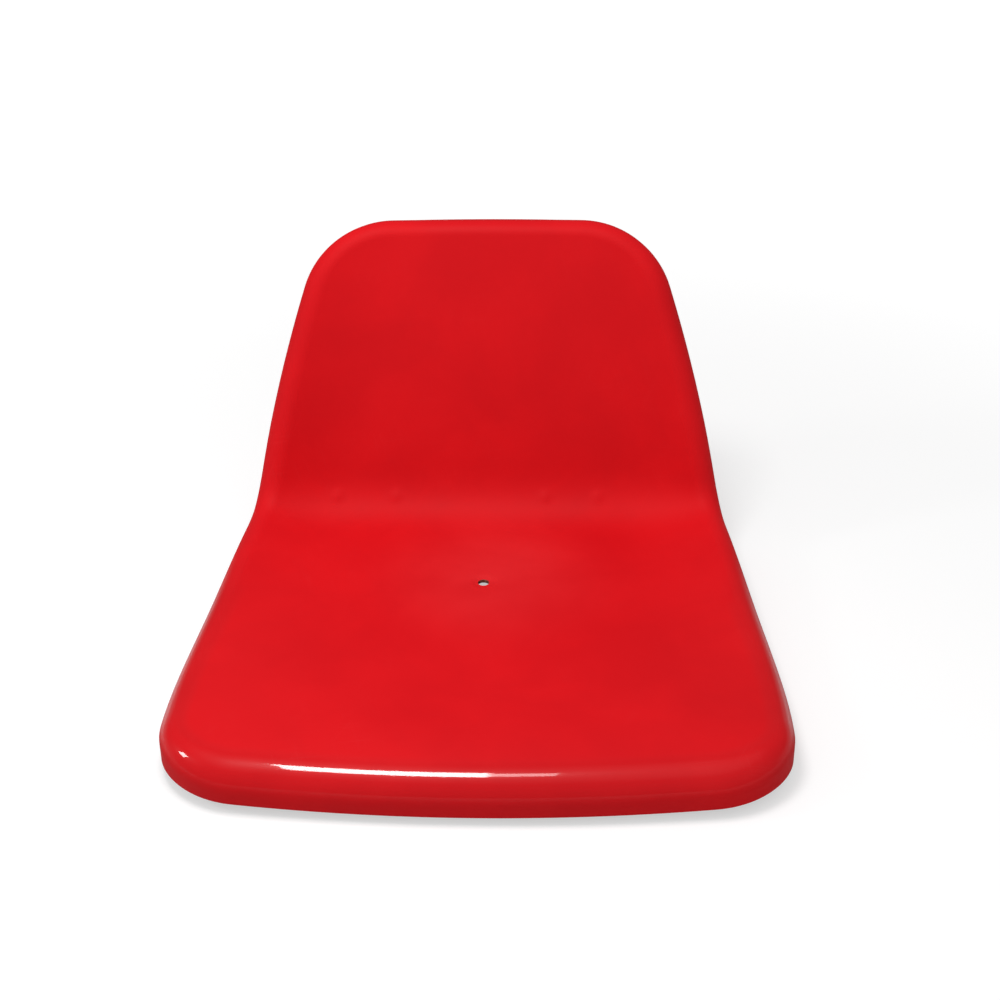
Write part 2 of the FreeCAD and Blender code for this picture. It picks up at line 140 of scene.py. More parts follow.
# Places on the show face, for arrays of places in the flat pattern
def skinPoint(along, side):
    lift = wingLift(along, side)
    tilt = slope(along)
    back = np.interp(along, lineStations, lineBack) - np.sin(tilt) * lift
    up = np.interp(along, lineStations, lineUp) + np.cos(tilt) * lift
    return np.stack([side, back - shell["standBack"], up + shell["panHeight"] - lowestUp], -1)


def unit(vectors):
    return vectors / np.linalg.norm(vectors, axis=-1, keepdims=True)


def skinNormal(along, side):
    nudge = 0.2
    onward = skinPoint(along + nudge, side) - skinPoint(along - nudge, side)
    across = skinPoint(along, side + nudge) - skinPoint(along, side - nudge)
    return unit(np.cross(across, onward))


# How finely the outline is drawn before it is divided evenly
outlinePoints = {"side": 6000, "sideEnds": 2000, "bow": 400, "corner": 160}


# The fillet between a bowed end and a side: the bow up to it, its arc, and where the side starts
def cornerCut(bow, half, radius, sideCurve, sidePlaces, end, towards):
    bowRadius = (half ** 2 + bow ** 2) / (2 * bow)
    hub = np.array([end + towards * bowRadius, 0])
    sides = sideCurve(sidePlaces)
    leans = np.gradient(sides, sidePlaces)
    inward = unit(np.stack([leans, -np.ones_like(leans)], -1))
    offset = np.stack([sidePlaces, sides], -1) + inward * radius
    miss = np.linalg.norm(offset - hub, axis=1) - (bowRadius - radius)
    i = int(np.argmin(np.abs(miss)))
    centre = offset[i]
    onEnd = hub + unit(centre - hub) * bowRadius
    onSide = np.array([sidePlaces[i], sides[i]])
    first = math.atan2(*(onEnd - centre)[::-1])
    last = math.atan2(*(onSide - centre)[::-1])
    turn = (last - first + math.pi) % (2 * math.pi) - math.pi
    angles = first + turn * np.linspace(0, 1, outlinePoints["corner"])
    arc = centre + radius * np.stack([np.cos(angles), np.sin(angles)], -1)
    bowEnd = math.atan2(onEnd[1], abs(onEnd[0] - hub[0]))
    bowAngles = np.linspace(0, bowEnd, outlinePoints["bow"])
    spokes = np.stack([-towards * np.cos(bowAngles), np.sin(bowAngles)], -1)
    return hub + bowRadius * spokes, arc, i


# Half of the outline in the flat pattern, from the middle of the front edge to that of the top
def halfOutline():
    stations = widthPlaces(shell["frontBow"], topEdge - shell["topBow"])
    sideCurve = fairCurve(stations, halves)
    places = np.linspace(stations[0], stations[-1], outlinePoints["side"])
    topStart = len(places) - outlinePoints["sideEnds"]
    front, frontArc, frontStop = cornerCut(shell["frontBow"], halves[0], shell["frontCorner"],
                                           sideCurve, places[:outlinePoints["sideEnds"]], 0, 1)
    top, topArc, topStop = cornerCut(shell["topBow"], halves[-1], shell["topCorner"],
                                     sideCurve, places[topStart:], topEdge, -1)
    side = np.stack([places, sideCurve(places)], -1)[frontStop:topStart + topStop]
    return [front[:-1], frontArc, side[1:-1], topArc[::-1], top[-2::-1]]


# The same line with count + 1 points at even distances
def evenly(points, count):
    run = np.concatenate([[0], np.cumsum(np.linalg.norm(np.diff(points, axis=0), axis=1))])
    wanted = np.linspace(0, run[-1], count + 1)
    return np.stack([np.interp(wanted, run, values) for values in points.T], -1)


# How finely the shell is meshed, the dish of its drain hole, and where its rim is glossy
shellMesh = {
    "cellsAcross": 132, "cellsAlong": 176,
    "rollSteps": 10, "flangeSteps": 3,
    "lipBevel": 0.6,
    "drainCells": 5,  # cells opened each way from the middle of the drain hole
    "drainRings": ((12, 0), (9.6, 0.15), (8.2, 0.5), (7, 0.85), (5.7, 1.05)),  # radius, depth
    "drainDepth": 1.1, "drainBlend": 60,
    "polishBand": 10,  # the rim's gloss fades into the satin of the sitting face over this
    "polishEnd": 0.85,  # share of the roll by which it has faded again towards the flange
    "polishStop": 0.6, "polishFade": 0.3,  # shares of the pan's length where it ends at the sides
}


def rollRadius(along):
    noseEnd = ramp(along / shell["rollBlend"])
    topStart = ramp((along - topEdge) / shell["rollBlend"] + 1)
    return (shell["noseRoll"] + (shell["sideRoll"] - shell["noseRoll"]) * noseEnd
            + (shell["topRoll"] - shell["sideRoll"]) * topStart)


def rimDrop(along):
    share = ramp((along - creaseEnd) / shell["backLength"])
    return shell["panDrop"] + (shell["headDrop"] - shell["panDrop"]) * share


# The outline's four sides, split at the middles of its corners, and the line where the rim begins
def rimStart():
    front, frontArc, side, topArc, top = halfOutline()
    half = np.concatenate([front, frontArc, side, topArc, top])
    frontCut = len(front) + len(frontArc) // 2
    topCut = len(half) - len(top) - len(topArc) // 2
    mirror = np.array([1, -1])
    frontSide = np.concatenate([half[:frontCut + 1][::-1] * mirror, half[1:frontCut + 1]])
    rightSide = half[frontCut:topCut + 1]
    topSide = np.concatenate([half[topCut:], half[topCut:-1][::-1] * mirror])
    across, along = shellMesh["cellsAcross"], shellMesh["cellsAlong"]
    sides = [evenly(frontSide, across)[:-1], evenly(rightSide, along)[:-1],
             evenly(topSide, across)[:-1], evenly(rightSide * mirror, along)[::-1][:-1]]
    outline = np.concatenate(sides)
    tangents = unit(np.roll(outline, -1, 0) - np.roll(outline, 1, 0))
    inward = np.stack([tangents[:, 1], -tangents[:, 0]], -1)
    return outline, outline + inward * rollRadius(outline[:, :1])


# Flat-pattern places of a grid that fills the closed line
def coonsPatch(loop, across, along):
    closed = np.concatenate([loop, loop[:1]])
    front = closed[:across + 1]
    right = closed[across:across + along + 1]
    top = closed[across + along:2 * across + along + 1][::-1]
    left = closed[2 * across + along:][::-1]
    s = np.linspace(0, 1, across + 1)[None, :, None]
    t = np.linspace(0, 1, along + 1)[:, None, None]
    corners = ((1 - s) * (1 - t) * front[0] + s * (1 - t) * front[-1]
               + (1 - s) * t * top[0] + s * t * top[-1])
    return (1 - t) * front + t * top + (1 - s) * left[:, None] + s * right[:, None] - corners


# Four faint bumps where the ends of the bearers print through the skin above the crease
printMarks = {"along": 377, "sides": (-128, -78, 49, 94), "radius": 4, "height": 1.5}


def printBumps(along, side):
    height = np.zeros_like(along)
    for middle in printMarks["sides"]:
        away = np.hypot(along - printMarks["along"], side - middle) / printMarks["radius"]
        height += printMarks["height"] * np.exp(-away ** 2)
    return height


def deselectAll():
    if bpy.context.object and bpy.context.object.mode != "OBJECT":
        bpy.ops.object.mode_set(mode="OBJECT")
    bpy.ops.object.select_all(action="DESELECT")


def activate(piece):
    deselectAll()
    piece.select_set(True)
    bpy.context.view_layer.objects.active = piece


def vertexPlaces(mesh):
    places = np.zeros(len(mesh.vertices) * 3)
    mesh.vertices.foreach_get("co", places)
    return places.reshape(-1, 3)


# Numbers kept with the points of a mesh
def pointValues(mesh, name, kind=float):
    values = np.zeros(len(mesh.vertices), kind)
    mesh.attributes[name].data.foreach_get("value", values)
    return values


def selectEdges(mesh, vertexMask):
    for edge in mesh.edges:
        edge.select = bool(vertexMask[edge.vertices[0]] and vertexMask[edge.vertices[1]])
    for polygon in mesh.polygons:
        polygon.select = False
    mesh.vertices.foreach_set("select", vertexMask)


# Numbers the points of a mesh, and keeps the numbers while more is extruded
def keepOrder(mesh, name, order):
    mesh.attributes.new(name, "INT", "POINT").data.foreach_set("value", order)


# Flat-pattern places, in metres, which the strands in the laminate follow
def keepSheetPlaces(mesh, flat):
    layer = mesh.attributes.new("sheetPlace", "FLOAT_VECTOR", "POINT")
    values = np.zeros((len(mesh.vertices), 3))
    values[:, :2] = flat
    layer.data.foreach_set("vector", (values * mm).ravel())


# Extrudes an edge once for each ring and sets every new point by its number in the order
def extrudeRings(piece, orderName, rings, flats, polishes=None):
    mesh = piece.data
    for step, (ring, flat) in enumerate(zip(rings, flats)):
        bpy.ops.object.mode_set(mode="EDIT")
        bpy.ops.mesh.select_mode(type="EDGE")
        bpy.ops.mesh.extrude_edges_move()
        bpy.ops.object.mode_set(mode="OBJECT")
        chosen = np.zeros(len(mesh.vertices), bool)
        mesh.vertices.foreach_get("select", chosen)
        orders = pointValues(mesh, orderName, int)[chosen]
        places = vertexPlaces(mesh)
        places[chosen] = ring[orders] * mm
        mesh.vertices.foreach_set("co", places.ravel())
        sheet = np.zeros(places.size)
        mesh.attributes["sheetPlace"].data.foreach_get("vector", sheet)
        sheet.reshape(-1, 3)[chosen, :2] = flat[orders] * mm
        mesh.attributes["sheetPlace"].data.foreach_set("vector", sheet)
        if polishes is not None:
            polish = pointValues(mesh, "rimPolish")
            polish[chosen] = polishes[step][orders]
            mesh.attributes["rimPolish"].data.foreach_set("value", polish)
    mesh.update()


# A new grid, with the row and column of each of its points
def newGrid(name, across, along):
    bpy.ops.mesh.primitive_grid_add(x_subdivisions=across, y_subdivisions=along, size=2)
    piece = bpy.context.object
    piece.name = name
    places = vertexPlaces(piece.data)
    columns = np.rint((places[:, 0] + 1) / 2 * across).astype(int)
    rows = np.rint((places[:, 1] + 1) / 2 * along).astype(int)
    return piece, rows, columns


# The number of each point along the grid's edge, from its near left corner, and -1 inside
def edgeOrder(rows, columns, across, along):
    order = np.full(len(rows), -1)
    order[rows == 0] = columns[rows == 0]
    right = (columns == across) & (rows > 0)
    order[right] = across + rows[right]
    top = (rows == along) & (columns < across)
    order[top] = 2 * across + along - columns[top]
    left = (columns == 0) & (rows > 0) & (rows < along)
    order[left] = 2 * (across + along) - rows[left]
    return order


# Draws one point of a grid to the middle of a hole, and counts the cells from it to each point
def drawTo(flat, rows, columns, middle, blend):
    away = np.linalg.norm(flat - middle, axis=-1)
    row, column = np.unravel_index(np.argmin(away), away.shape)
    flat = flat + (middle - flat[row, column]) * ramp(1 - away / blend)[..., None]
    return flat, np.maximum(np.abs(rows - row), np.abs(columns - column))


# Marks where a hole is opened in a grid: its edge is numbered round its middle
def markHole(mesh, name, flat, steps, cells, middle):
    border = np.flatnonzero(steps == cells)
    fromMiddle = flat[border] - middle
    bearings = np.arctan2(fromMiddle[:, 1], fromMiddle[:, 0])
    order = np.full(len(flat), -1)
    order[border[np.argsort(bearings)]] = np.arange(len(border))
    keepOrder(mesh, name, order)
    turns = bearings.min() + np.arange(len(border)) * 2 * math.pi / len(border)
    return np.stack([np.cos(turns), np.sin(turns)], -1)


def openCells(piece, inside):
    selectEdges(piece.data, inside)
    bpy.ops.object.mode_set(mode="EDIT")
    bpy.ops.mesh.select_mode(type="VERT")
    bpy.ops.mesh.delete(type="VERT")
    bpy.ops.object.mode_set(mode="OBJECT")


def selectOrder(mesh, name):
    selectEdges(mesh, pointValues(mesh, name, int) >= 0)


finish = {"bevelSegments": 2, "bevelAngle": 60, "smoothAngle": 40}


# Turns a sheet's faces the way given, thickens it behind them and softens its cut edges
def finishSheet(piece, thickness, facing, bevel, backSlot, edgeSlot):
    activate(piece)
    bpy.ops.object.mode_set(mode="EDIT")
    bpy.ops.mesh.select_all(action="SELECT")
    bpy.ops.mesh.normals_make_consistent(inside=False)
    bpy.ops.object.mode_set(mode="OBJECT")
    upward = sum(polygon.normal.z * polygon.area for polygon in piece.data.polygons)
    if upward * facing < 0:
        bpy.ops.object.mode_set(mode="EDIT")
        bpy.ops.mesh.flip_normals()
        bpy.ops.object.mode_set(mode="OBJECT")
    wall = piece.modifiers.new("wall", "SOLIDIFY")
    wall.thickness = thickness * mm
    wall.offset = -1
    wall.use_even_offset = True
    wall.material_offset = backSlot
    wall.material_offset_rim = edgeSlot
    bpy.ops.object.modifier_apply(modifier="wall")
    edge = piece.modifiers.new("edge", "BEVEL")
    edge.width = bevel * mm
    edge.segments = finish["bevelSegments"]
    edge.limit_method = "ANGLE"
    edge.angle_limit = math.radians(finish["bevelAngle"])
    edge.material = edgeSlot
    bpy.ops.object.modifier_apply(modifier="edge")
    bpy.ops.object.shade_smooth_by_angle(angle=math.radians(finish["smoothAngle"]))
    for name in [layer.name for layer in piece.data.attributes if layer.name.endswith("Order")]:
        piece.data.attributes.remove(piece.data.attributes[name])


def evenShares(count):
    return [step / count for step in range(1, count + 1)]


# The roll and the flange as rings round the skin, each with its places in the flat pattern
def rimRings(outline, start):
    radius = rollRadius(outline[:, :1])
    normal = skinNormal(*start.T)
    foot = skinPoint(*start.T)
    outwardFlat = unit(outline - start)
    outward = skinPoint(*(start + outwardFlat).T) - foot
    outward = unit(outward - normal * np.sum(outward * normal, 1, keepdims=True))
    tilt = slope(start[:, 0])
    down = np.stack([np.zeros_like(tilt), np.sin(tilt), -np.cos(tilt)], -1)
    sweep = np.arctan2(-np.sum(down * normal, 1), np.sum(down * outward, 1))[:, None]
    hub = foot - normal * radius
    run = outward * np.cos(sweep) - normal * np.sin(sweep)
    flange = rimDrop(outline[:, :1]) - radius
    rings = []
    flats = []
    for share in evenShares(shellMesh["rollSteps"]):
        angle = sweep * share
        rings.append(hub + (normal * np.cos(angle) + outward * np.sin(angle)) * radius)
        flats.append(start + outwardFlat * radius * angle)
    rollEnd = rings[-1]
    flatEnd = flats[-1]
    for share in evenShares(shellMesh["flangeSteps"]):
        reach = flange * share
        rings.append(rollEnd + run * reach)
        flats.append(flatEnd + outwardFlat * reach)
    return rings, flats


# Legs and hands keep the rim of the pan bright, and not the rim of the back
def wornPolish(along):
    return 1 - ramp((along / shell["panLength"] - shellMesh["polishStop"]) / shellMesh["polishFade"])


def makeShell():
    across, along = shellMesh["cellsAcross"], shellMesh["cellsAlong"]
    piece, rows, columns = newGrid("seat_moulding", across, along)
    mesh = piece.data
    outline, start = rimStart()
    middle = np.array([drainAlong, 0])
    flat = coonsPatch(start, across, along)
    flat, steps = drawTo(flat, rows, columns, middle, shellMesh["drainBlend"])
    flat = flat[rows, columns]
    skin = skinPoint(*flat.T) + skinNormal(*flat.T) * printBumps(*flat.T)[:, None]
    mesh.vertices.foreach_set("co", (skin * mm).ravel())
    keepOrder(mesh, "rimOrder", edgeOrder(rows, columns, across, along))
    keepSheetPlaces(mesh, flat[:, ::-1])
    toRim = np.array([np.min(np.hypot(*(start - place).T)) for place in flat])
    polish = ramp(1 - toRim / shellMesh["polishBand"]) * wornPolish(flat[:, 0])
    mesh.attributes.new("rimPolish", "FLOAT", "POINT").data.foreach_set("value", polish)

    # the cells round the drain hole are opened, and their edge is drawn in to the bore
    spokes = markHole(mesh, "drainOrder", flat, steps, shellMesh["drainCells"], middle)
    openCells(piece, steps < shellMesh["drainCells"])
    selectOrder(mesh, "drainOrder")
    dishRings = (*shellMesh["drainRings"], (shell["drainBore"] / 2, shellMesh["drainDepth"]))
    holes = [middle + spokes * radius for radius, depth in dishRings]
    dish = [skinPoint(*hole.T) - skinNormal(*hole.T) * depth
            for hole, (radius, depth) in zip(holes, dishRings)]
    extrudeRings(piece, "drainOrder", dish, [hole[:, ::-1] for hole in holes])

    # the rim, one extrusion for each step
    selectOrder(mesh, "rimOrder")
    rings, flats = rimRings(outline, start)
    shares = [min(step / shellMesh["rollSteps"] / shellMesh["polishEnd"], 1)
              for step in range(1, len(rings) + 1)]
    polishes = [wornPolish(start[:, 0]) * ramp(2 - 2 * share) for share in shares]
    extrudeRings(piece, "rimOrder", rings, [ring[:, ::-1] for ring in flats], polishes)
    return piece


deselectAll()
moulding = makeShell()
print("shell drawn and its rim turned:", len(moulding.data.polygons), "faces")


# Helpers for node trees

# Links a socket to another, or sets it to a value
def feed(tree, value, socket):
    if isinstance(value, bpy.types.NodeSocket):
        tree.links.new(value, socket)
    else:
        socket.default_value = value


# Adds a node, with its inputs by name or number, and gives back its outputs
def addNode(tree, kind, inputs, **settings):
    node = tree.nodes.new(kind)
    for name, value in settings.items():
        setattr(node, name, value)
    for name, value in inputs.items():
        feed(tree, value, node.inputs[name])
    return node.outputs


def maths(tree, operation, *values):
    return addNode(tree, "ShaderNodeMath", dict(enumerate(values)), operation=operation)[0]


def vectorMaths(tree, operation, *values):
    return addNode(tree, "ShaderNodeVectorMath", dict(enumerate(values)), operation=operation)


def noise(tree, vector, scale, detail=2.0, roughness=0.5, distortion=0.0, output="Fac"):
    return addNode(tree, "ShaderNodeTexNoise", {
        "Vector": vector, "Scale": scale, "Detail": detail, "Roughness": roughness,
        "Distortion": distortion})[output]


# Places turned about Z and shifted, then stretched
def turned(tree, vector, degrees, stretch, shift=(0, 0, 0)):
    turn = addNode(tree, "ShaderNodeMapping", {
        "Vector": vector, "Rotation": (0, 0, math.radians(degrees)), "Location": shift})
    return addNode(tree, "ShaderNodeMapping", {"Vector": turn[0], "Scale": stretch})[0]


# A value's range from low to high, spread over another
def spread(tree, value, low, high, toLow=0.0, toHigh=1.0, smooth=False):
    return addNode(tree, "ShaderNodeMapRange", {
        "Value": value, "From Min": low, "From Max": high, "To Min": toLow, "To Max": toHigh},
        interpolation_type="SMOOTHSTEP" if smooth else "LINEAR")["Result"]


# Factor and colours of a colour mix are its inputs 0, 6 and 7, and the colour is its output 2
def blendColours(tree, share, first, second):
    return addNode(tree, "ShaderNodeMix", {0: share, 6: first, 7: second}, data_type="RGBA")[2]


# A bump whose height is in metres
def bump(tree, height):
    inputs = {"Strength": 1.0, "Distance": 1.0, "Height": height}
    return addNode(tree, "ShaderNodeBump", inputs)["Normal"]


# A group that makes one value of places and of numbers that each material gives it
def newGroup(name, result, *numbers):
    tree = bpy.data.node_groups.new(name, "ShaderNodeTree")
    tree.interface.new_socket("Vector", in_out="INPUT", socket_type="NodeSocketVector")
    for label in numbers:
        tree.interface.new_socket(label, in_out="INPUT", socket_type="NodeSocketFloat")
    tree.interface.new_socket(result, in_out="OUTPUT", socket_type="NodeSocketFloat")
    return tree, tree.nodes.new("NodeGroupInput").outputs, tree.nodes.new("NodeGroupOutput").inputs


def useGroup(tree, group, **values):
    return addNode(tree, "ShaderNodeGroup", values, node_tree=group)


def newMaterial(name):
    material = bpy.data.materials.new(name)
    material.use_nodes = True
    tree = material.node_tree
    return material, tree, tree.nodes["Principled BSDF"].inputs


def objectPlaces(tree):
    return tree.nodes.new("ShaderNodeTexCoord").outputs["Object"]


# What is kept with the points of the mesh
def kept(tree, name, output):
    return addNode(tree, "ShaderNodeAttribute", {}, attribute_name=name)[output]


# Effects that several materials share. Lengths are in metres.

noiseRange = (0.3, 0.7)  # nearly all of a noise's values lie in it
grainNoise = (3, 0.6)  # detail and roughness


# The highest of several layers of stretched noise, each turned its own way
def layered(tree, places, look, detail):
    mask = 0.0
    for index, degrees in enumerate(look["degrees"]):
        shift = (*(step * index for step in look["shift"]), 0)
        lengthwise = turned(tree, places, degrees, (look["across"], look["along"], 1), shift)
        layer = spread(tree, noise(tree, lengthwise, 1, detail), *look["range"])
        mask = maths(tree, "MAXIMUM", mask, layer)
    return mask


# Chopped glass strands, each about a millimetre wide, laid every way in the sheet
strandLayers = {"degrees": (8, 41, 77, 112, 149), "across": 620, "along": 34, "shift": (0.31, 0.17),
                "range": (0.56, 0.68), "wanderSize": 28, "wander": 0.004}


def makeGlassStrands():
    tree, given, result = newGroup("glassStrands", "Mask")
    wander = noise(tree, given["Vector"], strandLayers["wanderSize"], output="Color")
    bent = vectorMaths(tree, "MULTIPLY_ADD", wander, (strandLayers["wander"],) * 3, given["Vector"])
    feed(tree, layered(tree, bent["Vector"], strandLayers, 1), result["Mask"])
    return tree


# Slow changes of shade over the surface, from 0 to 1
clouding = {"detail": 4, "roughness": 0.55, "distortion": 0.3, "range": (0.32, 0.68)}


def makeCloudShade():
    tree, given, result = newGroup("cloudShade", "Mask", "Size")
    cloud = noise(tree, given["Vector"], given["Size"], clouding["detail"], clouding["roughness"],
                  clouding["distortion"])
    feed(tree, spread(tree, cloud, *clouding["range"], smooth=True), result["Mask"])
    return tree


# Sparse hairline scratches from cleaning and sliding in
scratches = {"degrees": (-17, 24, 82), "across": 1500, "along": 22, "shift": (0.7, 0),
             "range": (0.74, 0.78), "patchSize": 9, "patchRange": (0.45, 0.65)}


def makeHairlines():
    tree, given, result = newGroup("hairlines", "Mask")
    mask = layered(tree, given["Vector"], scratches, 0)
    patches = noise(tree, given["Vector"], scratches["patchSize"], 1)
    patches = spread(tree, patches, *scratches["patchRange"])
    feed(tree, maths(tree, "MULTIPLY", mask, patches), result["Mask"])
    return tree


# Height of a moulded or brushed surface: a slow wave and a fine peel, each with its own depth
waveNumbers = {"Wave Size": "waveSize", "Wave Height": "waveHeight",
               "Peel Size": "peelSize", "Peel Height": "peelHeight"}


def makeSurfaceWave():
    tree, given, result = newGroup("surfaceWave", "Height", *waveNumbers)
    wave = noise(tree, given["Vector"], given["Wave Size"], 1)
    peel = noise(tree, given["Vector"], given["Peel Size"], 2)
    peel = maths(tree, "MULTIPLY", peel, given["Peel Height"])
    feed(tree, maths(tree, "MULTIPLY_ADD", wave, given["Wave Height"], peel), result["Height"])
    return tree


glassStrands = makeGlassStrands()
cloudShade = makeCloudShade()
hairlines = makeHairlines()
surfaceWave = makeSurfaceWave()


# The surface's height, with the strands that show through it, in a finish's own sizes and depths
def surfaceHeight(tree, places, strands, resin):
    numbers = {label: resin[name] for label, name in waveNumbers.items()}
    waves = useGroup(tree, surfaceWave, Vector=places, **numbers)["Height"]
    return maths(tree, "MULTIPLY_ADD", strands, resin["strandHeight"], waves)


# Show side: pigmented gelcoat, satin where one sits and bright along the rim of the pan; a pale
# patch in the pan's middle is partly wear and partly painted sheen
gelcoat = {
    "red": (0.70, 0.0045, 0.0085, 1), "deepRed": (0.64, 0.0035, 0.0075, 1),
    "chalkAndSheenRed": (0.74, 0.05, 0.055, 1), "scratchChalk": 0.12, "scratchRoughness": 0.15,
    "wearAndSheenMiddle": (0.008, 0.272, 0), "wearAndSheenReach": 0.12, "wearAndSheenShare": 0.3, "wearAndSheenChange": 0.5,
    "satinRoughness": 0.58, "rimRoughness": 0.30, "roughnessChange": 0.06, "specularLevel": 0.12,
    "coatRoughness": 0.05, "coatIor": 1.65,
    "cloudSize": 9.0, "waveSize": 14.0, "waveHeight": 6e-5, "peelSize": 420.0, "peelHeight": 1.2e-6,
    "strandHeight": 1.5e-6,
}


def redGelcoat():
    material, tree, shader = newMaterial("red_gelcoat")
    sheet = kept(tree, "sheetPlace", "Vector")
    clouds = useGroup(tree, cloudShade, Vector=sheet, Size=gelcoat["cloudSize"])["Mask"]
    scratched = useGroup(tree, hairlines, Vector=sheet)["Mask"]
    strands = useGroup(tree, glassStrands, Vector=sheet)["Mask"]
    colour = blendColours(tree, clouds, gelcoat["deepRed"], gelcoat["red"])
    # pale chalky patch round the middle of the pan: partly wear, partly painted sheen where the pan
    # is lit most
    fromMiddle = vectorMaths(tree, "DISTANCE", sheet, gelcoat["wearAndSheenMiddle"])["Value"]
    worn = spread(tree, fromMiddle, 0, gelcoat["wearAndSheenReach"], gelcoat["wearAndSheenShare"], 0, smooth=True)
    worn = maths(tree, "MULTIPLY", worn, spread(tree, clouds, 0, 1, gelcoat["wearAndSheenChange"], 1))
    chalkAndSheen = maths(tree, "MULTIPLY_ADD", scratched, gelcoat["scratchChalk"], worn)
    feed(tree, blendColours(tree, chalkAndSheen, colour, gelcoat["chalkAndSheenRed"]), shader["Base Color"])
    polish = kept(tree, "rimPolish", "Fac")
    satin = spread(tree, polish, 0, 1, gelcoat["satinRoughness"], gelcoat["rimRoughness"])
    rough = maths(tree, "MULTIPLY_ADD", clouds, gelcoat["roughnessChange"], satin)
    rough = maths(tree, "MULTIPLY_ADD", scratched, gelcoat["scratchRoughness"], rough)
    feed(tree, rough, shader["Roughness"])
    height = surfaceHeight(tree, objectPlaces(tree), strands, gelcoat)
    feed(tree, bump(tree, height), shader["Normal"])
    shader["Specular IOR Level"].default_value = gelcoat["specularLevel"]
    feed(tree, polish, shader["Coat Weight"])
    shader["Coat Roughness"].default_value = gelcoat["coatRoughness"]
    shader["Coat IOR"].default_value = gelcoat["coatIor"]
    return material


# Back of the moulding: glass mat under a thin pigmented resin, as it leaves the roller
backResin = {
    "red": (0.56, 0.013, 0.015, 1), "thinRed": (0.42, 0.018, 0.015, 1),
    "strandRed": (0.60, 0.10, 0.08, 1), "strandShare": 0.28,
    "roughness": 0.34, "strandRoughness": 0.2, "specularLevel": 0.45,
    "cloudSize": 16.0, "waveSize": 55.0, "waveHeight": 5e-4, "peelSize": 380.0, "peelHeight": 5e-5,
    "strandHeight": 1.3e-4,
}


def strandedResin(name, resin):
    material, tree, shader = newMaterial(name)
    sheet = kept(tree, "sheetPlace", "Vector")
    clouds = useGroup(tree, cloudShade, Vector=sheet, Size=resin["cloudSize"])["Mask"]
    strands = useGroup(tree, glassStrands, Vector=sheet)["Mask"]
    colour = blendColours(tree, clouds, resin["thinRed"], resin["red"])
    shown = maths(tree, "MULTIPLY", strands, resin["strandShare"])
    feed(tree, blendColours(tree, shown, colour, resin["strandRed"]), shader["Base Color"])
    feed(tree, maths(tree, "MULTIPLY_ADD", strands, resin["strandRoughness"], resin["roughness"]),
         shader["Roughness"])
    feed(tree, bump(tree, surfaceHeight(tree, sheet, strands, resin)), shader["Normal"])
    shader["Specular IOR Level"].default_value = resin["specularLevel"]
    return material


# Trimmed edges: raw laminate, where cut glass shows in the resin; the resin's dark brown is partly
# painted shade, as on the drain hole's inner wall
trimEdge = {"resin": (0.20, 0.035, 0.022, 1), "glass": (0.46, 0.20, 0.14, 1),
            "grainSize": 700.0, "glassRange": (0.42, 0.62), "smearSize": 60.0, "smear": (0.3, 0.9),
            "rough": (0.45, 0.8), "height": 1.2e-4}


def trimmedEdge():
    material, tree, shader = newMaterial("trimmed_laminate_edge")
    places = objectPlaces(tree)
    grain = noise(tree, places, trimEdge["grainSize"], *grainNoise)
    smear = noise(tree, places, trimEdge["smearSize"])
    smear = spread(tree, smear, *noiseRange, *trimEdge["smear"])
    glass = maths(tree, "MULTIPLY", spread(tree, grain, *trimEdge["glassRange"]), smear)
    # dark resin colour: the laminate's own colour darkened with painted shade
    feed(tree, blendColours(tree, glass, trimEdge["resin"], trimEdge["glass"]), shader["Base Color"])
    feed(tree, spread(tree, grain, *noiseRange, *trimEdge["rough"]), shader["Roughness"])
    feed(tree, bump(tree, maths(tree, "MULTIPLY", grain, trimEdge["height"])), shader["Normal"])
    return material


rawEdge = trimmedEdge()
for material in (redGelcoat(), strandedResin("red_laminate_back", backResin), rawEdge):
    moulding.data.materials.append(material)
finishSheet(moulding, shell["wall"], 1, shellMesh["lipBevel"], 1, 2)
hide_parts("seat_shell")
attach(moulding, "root")
print("shell finished:", len(moulding.data.polygons), "faces")

# Over-laminate: mat wetted out over the bearers and brushed with the same red
overResin = dict(backResin, red=(0.50, 0.012, 0.014, 1), thinRed=(0.33, 0.015, 0.013, 1),
                 strandShare=0.34, roughness=0.3, waveHeight=7e-4, strandHeight=1.8e-4)

capping = {
    "middle": 85.5, "front": -172.336, "back": 141.905, "halfWidth": 26.3,  # outside of its walls
    "wall": 2.5, "bondLine": 0.3,
    "edgeRadius": 2.7, "cornerRadius": 6, "fillet": 4, "filletShare": 0.8,
    "tabReach": 21.2, "heelReach": 3.2,
    "tabRagged": 0.8, "raggedWaves": ((17, 1), (41, 0.6), (7, 0.8)),  # waves all round, heights
    "boltHole": 9, "boltRows": (-129.536, 30.464), "boltRing": 5.8, "boltCells": 3, "boltBlend": 40,
    "cellsAcross": 20, "cellsAlong": 128,
    "cornerPoints": 40, "edgeSteps": 4, "wallSteps": 4, "filletSteps": 5, "tabSteps": 6,
    "tabBevel": 0.7,
}


heightSearch = {"tries": 12, "leastCosine": 0.3}  # each try comes nearer to the place in plan


# Height of the surface that lies a depth behind the show face, over places in plan
def heightUnder(x, y, depth):
    along = np.interp(y, lineBack - shell["standBack"], lineStations)
    side = np.array(x, float)
    for attempt in range(heightSearch["tries"]):
        point = skinPoint(along, side) - skinNormal(along, side) * depth
        steepness = np.maximum(np.cos(slope(along)), heightSearch["leastCosine"])
        along = along + (y - point[:, 1]) / steepness
        side = side + x - point[:, 0]
    return (skinPoint(along, side) - skinNormal(along, side) * depth)[:, 2]


